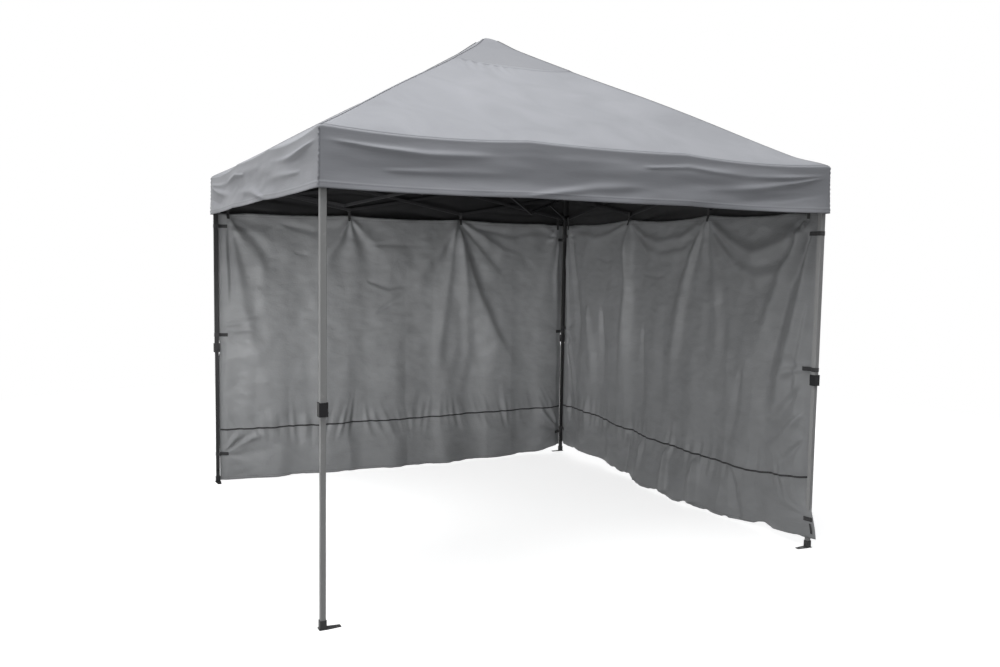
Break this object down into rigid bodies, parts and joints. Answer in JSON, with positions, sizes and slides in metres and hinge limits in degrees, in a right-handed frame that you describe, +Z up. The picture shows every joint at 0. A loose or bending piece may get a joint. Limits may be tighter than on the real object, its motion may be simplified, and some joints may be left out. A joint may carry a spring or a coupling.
{
  "type": "pop-up tent",
  "caption": "Square pop-up tent with telescopic legs, folding scissor trusses, a pitched cloth roof with a valance, and hanging cloth walls on the back and right sides.",
  "frame": {"origin": "on the ground, in the middle of the plan, under the peak", "axes": "+Z up, -Y out of the open front, +X towards the walled right side"},
  "size_m": [3, 3, 3.1158],
  "materials": {
    "roof_cloth": "matte",
    "wall_cloth": "matte",
    "leg_paint": "satin",
    "truss_paint": "satin",
    "black_moulding": "satin"
  },
  "bodies": {
    "centre": {"centre_hub": "black_moulding", "centre_pole": "truss_paint"},
    "front_left_inner_arm": {"front_left_inner_arm": "truss_paint"},
    "front_left_outer_arm": {"front_left_outer_arm": "truss_paint"},
    "front_left_strut": {"front_left_strut": "truss_paint"},
    "front_left_slider": {"front_left_slider": "black_moulding"},
    "front_left_leg": {"front_left_upper_leg": "leg_paint"},
    "front_left_lower_leg": {"front_left_lower_leg": "leg_paint"},
    "front_left_height_button": {"front_left_height_button": "black_moulding"},
    "front_right_inner_arm": {"front_right_inner_arm": "truss_paint"},
    "front_right_outer_arm": {"front_right_outer_arm": "truss_paint"},
    "front_right_strut": {"front_right_strut": "truss_paint"},
    "front_right_slider": {"front_right_slider": "black_moulding"},
    "front_right_leg": {"front_right_upper_leg": "leg_paint"},
    "front_right_lower_leg": {"front_right_lower_leg": "leg_paint"},
    "front_right_height_button": {"front_right_height_button": "black_moulding"},
    "back_right_inner_arm": {"back_right_inner_arm": "truss_paint"},
    "back_right_outer_arm": {"back_right_outer_arm": "truss_paint"},
    "back_right_strut": {"back_right_strut": "truss_paint"},
    "back_right_slider": {"back_right_slider": "black_moulding"},
    "back_right_leg": {"back_right_upper_leg": "leg_paint", "right_wall": "wall_cloth", "back_wall": "wall_cloth"},
    "back_right_lower_leg": {"back_right_lower_leg": "leg_paint"},
    "back_right_height_button": {"back_right_height_button": "black_moulding"},
    "back_left_inner_arm": {"back_left_inner_arm": "truss_paint"},
    "back_left_outer_arm": {"back_left_outer_arm": "truss_paint"},
    "back_left_strut": {"back_left_strut": "truss_paint"},
    "back_left_slider": {"back_left_slider": "black_moulding"},
    "back_left_leg": {"back_left_upper_leg": "leg_paint"},
    "back_left_lower_leg": {"back_left_lower_leg": "leg_paint"},
    "back_left_height_button": {"back_left_height_button": "black_moulding"},
    "front_truss_bar_1_falling": {"front_truss_bar_1_falling": "truss_paint"},
    "front_truss_bar_1_rising": {"front_truss_bar_1_rising": "truss_paint"},
    "front_truss_bar_2_falling": {"front_truss_bar_2_falling": "truss_paint"},
    "front_truss_bar_2_rising": {"front_truss_bar_2_rising": "truss_paint"},
    "front_truss_bar_3_falling": {"front_truss_bar_3_falling": "truss_paint"},
    "front_truss_bar_3_rising": {"front_truss_bar_3_rising": "truss_paint"},
    "front_roof_panel": {"front_roof_panel": "roof_cloth"},
    "right_truss_bar_1_falling": {"right_truss_bar_1_falling": "truss_paint"},
    "right_truss_bar_1_rising": {"right_truss_bar_1_rising": "truss_paint"},
    "right_truss_bar_2_falling": {"right_truss_bar_2_falling": "truss_paint"},
    "right_truss_bar_2_rising": {"right_truss_bar_2_rising": "truss_paint"},
    "right_truss_bar_3_falling": {"right_truss_bar_3_falling": "truss_paint"},
    "right_truss_bar_3_rising": {"right_truss_bar_3_rising": "truss_paint"},
    "right_roof_panel": {"right_roof_panel": "roof_cloth"},
    "back_truss_bar_1_falling": {"back_truss_bar_1_falling": "truss_paint"},
    "back_truss_bar_1_rising": {"back_truss_bar_1_rising": "truss_paint"},
    "back_truss_bar_2_falling": {"back_truss_bar_2_falling": "truss_paint"},
    "back_truss_bar_2_rising": {"back_truss_bar_2_rising": "truss_paint"},
    "back_truss_bar_3_falling": {"back_truss_bar_3_falling": "truss_paint"},
    "back_truss_bar_3_rising": {"back_truss_bar_3_rising": "truss_paint"},
    "back_roof_panel": {"back_roof_panel": "roof_cloth"},
    "left_truss_bar_1_falling": {"left_truss_bar_1_falling": "truss_paint"},
    "left_truss_bar_1_rising": {"left_truss_bar_1_rising": "truss_paint"},
    "left_truss_bar_2_falling": {"left_truss_bar_2_falling": "truss_paint"},
    "left_truss_bar_2_rising": {"left_truss_bar_2_rising": "truss_paint"},
    "left_truss_bar_3_falling": {"left_truss_bar_3_falling": "truss_paint"},
    "left_truss_bar_3_rising": {"left_truss_bar_3_rising": "truss_paint"},
    "left_roof_panel": {"left_roof_panel": "roof_cloth"}
  },
  "joints": [
    {"name": "fold", "type": "hinge", "parent": "centre", "child": "front_left_inner_arm", "pos_m": [-0.02121, -0.02121, 2.23], "axis": [0.7071, -0.7071, 0], "range_deg": [0, 76.5], "deforming": ["front_roof_panel", "right_roof_panel", "back_roof_panel", "left_roof_panel", "right_wall", "back_wall"]},
    {"name": "front_left_knee", "type": "hinge", "parent": "front_left_inner_arm", "child": "front_left_outer_arm", "pos_m": [-0.73121, -0.73121, 2.04438], "axis": [0.7071, -0.7071, 0], "range_deg": [-153, 0]},
    {"name": "front_left_leg_head", "type": "hinge", "parent": "front_left_outer_arm", "child": "front_left_leg", "pos_m": [-1.44121, -1.44121, 2.23], "axis": [0.7071, -0.7071, 0], "range_deg": [0, 76.5]},
    {"name": "front_left_strut_hinge", "type": "hinge", "parent": "front_left_outer_arm", "child": "front_left_strut", "pos_m": [-1.10652, -1.10652, 2.1425], "axis": [0.7071, -0.7071, 0], "range_deg": [0, 153]},
    {"name": "front_left_slider_hinge", "type": "hinge", "parent": "front_left_strut", "child": "front_left_slider", "pos_m": [-1.44121, -1.44121, 2.055], "axis": [0.7071, -0.7071, 0], "range_deg": [-76.5, 0]},
    {"name": "front_left_leg_height", "type": "slide", "parent": "front_left_leg", "child": "front_left_lower_leg", "axis": [0, 0, 1], "range_m": [0, 0.9]},
    {"name": "front_left_button_press", "type": "slide", "parent": "front_left_leg", "child": "front_left_height_button", "axis": [-1, 0, 0], "range_m": [0, 0.004], "stiffness_N_per_m": 2000},
    {"name": "front_right_inner_arm_hinge", "type": "hinge", "parent": "centre", "child": "front_right_inner_arm", "pos_m": [0.02121, -0.02121, 2.23], "axis": [0.7071, 0.7071, 0], "range_deg": [0, 76.5]},
    {"name": "front_right_knee", "type": "hinge", "parent": "front_right_inner_arm", "child": "front_right_outer_arm", "pos_m": [0.73121, -0.73121, 2.04438], "axis": [0.7071, 0.7071, 0], "range_deg": [-153, 0]},
    {"name": "front_right_leg_head", "type": "hinge", "parent": "front_right_outer_arm", "child": "front_right_leg", "pos_m": [1.44121, -1.44121, 2.23], "axis": [0.7071, 0.7071, 0], "range_deg": [0, 76.5]},
    {"name": "front_right_strut_hinge", "type": "hinge", "parent": "front_right_outer_arm", "child": "front_right_strut", "pos_m": [1.10652, -1.10652, 2.1425], "axis": [0.7071, 0.7071, 0], "range_deg": [0, 153]},
    {"name": "front_right_slider_hinge", "type": "hinge", "parent": "front_right_strut", "child": "front_right_slider", "pos_m": [1.44121, -1.44121, 2.055], "axis": [0.7071, 0.7071, 0], "range_deg": [-76.5, 0]},
    {"name": "front_right_leg_height", "type": "slide", "parent": "front_right_leg", "child": "front_right_lower_leg", "axis": [0, 0, 1], "range_m": [0, 0.9]},
    {"name": "front_right_button_press", "type": "slide", "parent": "front_right_leg", "child": "front_right_height_button", "axis": [0, -1, 0], "range_m": [0, 0.004], "stiffness_N_per_m": 2000},
    {"name": "back_right_inner_arm_hinge", "type": "hinge", "parent": "centre", "child": "back_right_inner_arm", "pos_m": [0.02121, 0.02121, 2.23], "axis": [-0.7071, 0.7071, 0], "range_deg": [0, 76.5]},
    {"name": "back_right_knee", "type": "hinge", "parent": "back_right_inner_arm", "child": "back_right_outer_arm", "pos_m": [0.73121, 0.73121, 2.04438], "axis": [-0.7071, 0.7071, 0], "range_deg": [-153, 0]},
    {"name": "back_right_leg_head", "type": "hinge", "parent": "back_right_outer_arm", "child": "back_right_leg", "pos_m": [1.44121, 1.44121, 2.23], "axis": [-0.7071, 0.7071, 0], "range_deg": [0, 76.5]},
    {"name": "back_right_strut_hinge", "type": "hinge", "parent": "back_right_outer_arm", "child": "back_right_strut", "pos_m": [1.10652, 1.10652, 2.1425], "axis": [-0.7071, 0.7071, 0], "range_deg": [0, 153]},
    {"name": "back_right_slider_hinge", "type": "hinge", "parent": "back_right_strut", "child": "back_right_slider", "pos_m": [1.44121, 1.44121, 2.055], "axis": [-0.7071, 0.7071, 0], "range_deg": [-76.5, 0]},
    {"name": "back_right_leg_height", "type": "slide", "parent": "back_right_leg", "child": "back_right_lower_leg", "axis": [0, 0, 1], "range_m": [0, 0.9]},
    {"name": "back_right_button_press", "type": "slide", "parent": "back_right_leg", "child": "back_right_height_button", "axis": [1, 0, 0], "range_m": [0, 0.004], "stiffness_N_per_m": 2000},
    {"name": "back_left_inner_arm_hinge", "type": "hinge", "parent": "centre", "child": "back_left_inner_arm", "pos_m": [-0.02121, 0.02121, 2.23], "axis": [-0.7071, -0.7071, 0], "range_deg": [0, 76.5]},
    {"name": "back_left_knee", "type": "hinge", "parent": "back_left_inner_arm", "child": "back_left_outer_arm", "pos_m": [-0.73121, 0.73121, 2.04438], "axis": [-0.7071, -0.7071, 0], "range_deg": [-153, 0]},
    {"name": "back_left_leg_head", "type": "hinge", "parent": "back_left_outer_arm", "child": "back_left_leg", "pos_m": [-1.44121, 1.44121, 2.23], "axis": [-0.7071, -0.7071, 0], "range_deg": [0, 76.5]},
    {"name": "back_left_strut_hinge", "type": "hinge", "parent": "back_left_outer_arm", "child": "back_left_strut", "pos_m": [-1.10652, 1.10652, 2.1425], "axis": [-0.7071, -0.7071, 0], "range_deg": [0, 153]},
    {"name": "back_left_slider_hinge", "type": "hinge", "parent": "back_left_strut", "child": "back_left_slider", "pos_m": [-1.44121, 1.44121, 2.055], "axis": [-0.7071, -0.7071, 0], "range_deg": [-76.5, 0]},
    {"name": "back_left_leg_height", "type": "slide", "parent": "back_left_leg", "child": "back_left_lower_leg", "axis": [0, 0, 1], "range_m": [0, 0.9]},
    {"name": "back_left_button_press", "type": "slide", "parent": "back_left_leg", "child": "back_left_height_button", "axis": [0, 1, 0], "range_m": [0, 0.004], "stiffness_N_per_m": 2000},
    {"name": "front_falling_1_head", "type": "hinge", "parent": "front_left_leg", "child": "front_truss_bar_1_falling", "pos_m": [-1.42, -1.475, 2.23], "axis": [0, 1, 0], "range_deg": [0, 76.5]},
    {"name": "front_crossing_1", "type": "hinge", "parent": "front_truss_bar_1_falling", "child": "front_truss_bar_1_rising", "pos_m": [-0.94667, -1.475, 2.1425], "axis": [0, 1, 0], "range_deg": [-153, 0]},
    {"name": "front_low_joint_1", "type": "hinge", "parent": "front_truss_bar_1_falling", "child": "front_truss_bar_2_rising", "pos_m": [-0.47333, -1.475, 2.055], "axis": [0, 1, 0], "range_deg": [-153, 0]},
    {"name": "front_crossing_2", "type": "hinge", "parent": "front_truss_bar_2_rising", "child": "front_truss_bar_2_falling", "pos_m": [0, -1.475, 2.1425], "axis": [0, 1, 0], "range_deg": [0, 153]},
    {"name": "front_rising_3_head", "type": "hinge", "parent": "front_right_leg", "child": "front_truss_bar_3_rising", "pos_m": [1.42, -1.475, 2.23], "axis": [0, 1, 0], "range_deg": [-76.5, 0]},
    {"name": "front_crossing_3", "type": "hinge", "parent": "front_truss_bar_3_rising", "child": "front_truss_bar_3_falling", "pos_m": [0.94667, -1.475, 2.1425], "axis": [0, 1, 0], "range_deg": [0, 153]},
    {"name": "front_roof_hinge", "type": "hinge", "parent": "centre", "child": "front_roof_panel", "pos_m": [0, 0, 3.116], "axis": [1, 0, 0], "range_deg": [0, 45.13]},
    {"name": "right_falling_1_head", "type": "hinge", "parent": "front_right_leg", "child": "right_truss_bar_1_falling", "pos_m": [1.475, -1.42, 2.23], "axis": [-1, 0, 0], "range_deg": [0, 76.5]},
    {"name": "right_crossing_1", "type": "hinge", "parent": "right_truss_bar_1_falling", "child": "right_truss_bar_1_rising", "pos_m": [1.475, -0.94667, 2.1425], "axis": [-1, 0, 0], "range_deg": [-153, 0]},
    {"name": "right_low_joint_1", "type": "hinge", "parent": "right_truss_bar_1_falling", "child": "right_truss_bar_2_rising", "pos_m": [1.475, -0.47333, 2.055], "axis": [-1, 0, 0], "range_deg": [-153, 0]},
    {"name": "right_crossing_2", "type": "hinge", "parent": "right_truss_bar_2_rising", "child": "right_truss_bar_2_falling", "pos_m": [1.475, 0, 2.1425], "axis": [-1, 0, 0], "range_deg": [0, 153]},
    {"name": "right_rising_3_head", "type": "hinge", "parent": "back_right_leg", "child": "right_truss_bar_3_rising", "pos_m": [1.475, 1.42, 2.23], "axis": [-1, 0, 0], "range_deg": [-76.5, 0]},
    {"name": "right_crossing_3", "type": "hinge", "parent": "right_truss_bar_3_rising", "child": "right_truss_bar_3_falling", "pos_m": [1.475, 0.94667, 2.1425], "axis": [-1, 0, 0], "range_deg": [0, 153]},
    {"name": "right_roof_hinge", "type": "hinge", "parent": "centre", "child": "right_roof_panel", "pos_m": [0, 0, 3.116], "axis": [0, 1, 0], "range_deg": [0, 45.13]},
    {"name": "back_falling_1_head", "type": "hinge", "parent": "back_right_leg", "child": "back_truss_bar_1_falling", "pos_m": [1.42, 1.475, 2.23], "axis": [0, -1, 0], "range_deg": [0, 76.5]},
    {"name": "back_crossing_1", "type": "hinge", "parent": "back_truss_bar_1_falling", "child": "back_truss_bar_1_rising", "pos_m": [0.94667, 1.475, 2.1425], "axis": [0, -1, 0], "range_deg": [-153, 0]},
    {"name": "back_low_joint_1", "type": "hinge", "parent": "back_truss_bar_1_falling", "child": "back_truss_bar_2_rising", "pos_m": [0.47333, 1.475, 2.055], "axis": [0, -1, 0], "range_deg": [-153, 0]},
    {"name": "back_crossing_2", "type": "hinge", "parent": "back_truss_bar_2_rising", "child": "back_truss_bar_2_falling", "pos_m": [0, 1.475, 2.1425], "axis": [0, -1, 0], "range_deg": [0, 153]},
    {"name": "back_rising_3_head", "type": "hinge", "parent": "back_left_leg", "child": "back_truss_bar_3_rising", "pos_m": [-1.42, 1.475, 2.23], "axis": [0, -1, 0], "range_deg": [-76.5, 0]},
    {"name": "back_crossing_3", "type": "hinge", "parent": "back_truss_bar_3_rising", "child": "back_truss_bar_3_falling", "pos_m": [-0.94667, 1.475, 2.1425], "axis": [0, -1, 0], "range_deg": [0, 153]},
    {"name": "back_roof_hinge", "type": "hinge", "parent": "centre", "child": "back_roof_panel", "pos_m": [0, 0, 3.116], "axis": [-1, 0, 0], "range_deg": [0, 45.13]},
    {"name": "left_falling_1_head", "type": "hinge", "parent": "back_left_leg", "child": "left_truss_bar_1_falling", "pos_m": [-1.475, 1.42, 2.23], "axis": [1, 0, 0], "range_deg": [0, 76.5]},
    {"name": "left_crossing_1", "type": "hinge", "parent": "left_truss_bar_1_falling", "child": "left_truss_bar_1_rising", "pos_m": [-1.475, 0.94667, 2.1425], "axis": [1, 0, 0], "range_deg": [-153, 0]},
    {"name": "left_low_joint_1", "type": "hinge", "parent": "left_truss_bar_1_falling", "child": "left_truss_bar_2_rising", "pos_m": [-1.475, 0.47333, 2.055], "axis": [1, 0, 0], "range_deg": [-153, 0]},
    {"name": "left_crossing_2", "type": "hinge", "parent": "left_truss_bar_2_rising", "child": "left_truss_bar_2_falling", "pos_m": [-1.475, 0, 2.1425], "axis": [1, 0, 0], "range_deg": [0, 153]},
    {"name": "left_rising_3_head", "type": "hinge", "parent": "front_left_leg", "child": "left_truss_bar_3_rising", "pos_m": [-1.475, -1.42, 2.23], "axis": [1, 0, 0], "range_deg": [-76.5, 0]},
    {"name": "left_crossing_3", "type": "hinge", "parent": "left_truss_bar_3_rising", "child": "left_truss_bar_3_falling", "pos_m": [-1.475, -0.94667, 2.1425], "axis": [1, 0, 0], "range_deg": [0, 153]},
    {"name": "left_roof_hinge", "type": "hinge", "parent": "centre", "child": "left_roof_panel", "pos_m": [0, 0, 3.116], "axis": [0, -1, 0], "range_deg": [0, 45.13]}
  ],
  "couplings": [
    {"joint": "front_left_knee", "follows": "fold", "ratio": -2},
    {"joint": "front_left_leg_head", "follows": "fold", "ratio": 1},
    {"joint": "front_left_strut_hinge", "follows": "fold", "ratio": 2},
    {"joint": "front_left_slider_hinge", "follows": "fold", "ratio": -1},
    {"joint": "front_right_inner_arm_hinge", "follows": "fold", "ratio": 1},
    {"joint": "front_right_knee", "follows": "fold", "ratio": -2},
    {"joint": "front_right_leg_head", "follows": "fold", "ratio": 1},
    {"joint": "front_right_strut_hinge", "follows": "fold", "ratio": 2},
    {"joint": "front_right_slider_hinge", "follows": "fold", "ratio": -1},
    {"joint": "back_right_inner_arm_hinge", "follows": "fold", "ratio": 1},
    {"joint": "back_right_knee", "follows": "fold", "ratio": -2},
    {"joint": "back_right_leg_head", "follows": "fold", "ratio": 1},
    {"joint": "back_right_strut_hinge", "follows": "fold", "ratio": 2},
    {"joint": "back_right_slider_hinge", "follows": "fold", "ratio": -1},
    {"joint": "back_left_inner_arm_hinge", "follows": "fold", "ratio": 1},
    {"joint": "back_left_knee", "follows": "fold", "ratio": -2},
    {"joint": "back_left_leg_head", "follows": "fold", "ratio": 1},
    {"joint": "back_left_strut_hinge", "follows": "fold", "ratio": 2},
    {"joint": "back_left_slider_hinge", "follows": "fold", "ratio": -1},
    {"joint": "front_falling_1_head", "follows": "fold", "ratio": 1},
    {"joint": "front_crossing_1", "follows": "fold", "ratio": -2},
    {"joint": "front_low_joint_1", "follows": "fold", "ratio": -2},
    {"joint": "front_crossing_2", "follows": "fold", "ratio": 2},
    {"joint": "front_rising_3_head", "follows": "fold", "ratio": -1},
    {"joint": "front_crossing_3", "follows": "fold", "ratio": 2},
    {"joint": "front_roof_hinge", "follows": "fold", "ratio": 0.59},
    {"joint": "right_falling_1_head", "follows": "fold", "ratio": 1},
    {"joint": "right_crossing_1", "follows": "fold", "ratio": -2},
    {"joint": "right_low_joint_1", "follows": "fold", "ratio": -2},
    {"joint": "right_crossing_2", "follows": "fold", "ratio": 2},
    {"joint": "right_rising_3_head", "follows": "fold", "ratio": -1},
    {"joint": "right_crossing_3", "follows": "fold", "ratio": 2},
    {"joint": "right_roof_hinge", "follows": "fold", "ratio": 0.59},
    {"joint": "back_falling_1_head", "follows": "fold", "ratio": 1},
    {"joint": "back_crossing_1", "follows": "fold", "ratio": -2},
    {"joint": "back_low_joint_1", "follows": "fold", "ratio": -2},
    {"joint": "back_crossing_2", "follows": "fold", "ratio": 2},
    {"joint": "back_rising_3_head", "follows": "fold", "ratio": -1},
    {"joint": "back_crossing_3", "follows": "fold", "ratio": 2},
    {"joint": "back_roof_hinge", "follows": "fold", "ratio": 0.59},
    {"joint": "left_falling_1_head", "follows": "fold", "ratio": 1},
    {"joint": "left_crossing_1", "follows": "fold", "ratio": -2},
    {"joint": "left_low_joint_1", "follows": "fold", "ratio": -2},
    {"joint": "left_crossing_2", "follows": "fold", "ratio": 2},
    {"joint": "left_rising_3_head", "follows": "fold", "ratio": -1},
    {"joint": "left_crossing_3", "follows": "fold", "ratio": 2},
    {"joint": "left_roof_hinge", "follows": "fold", "ratio": 0.59}
  ]
}
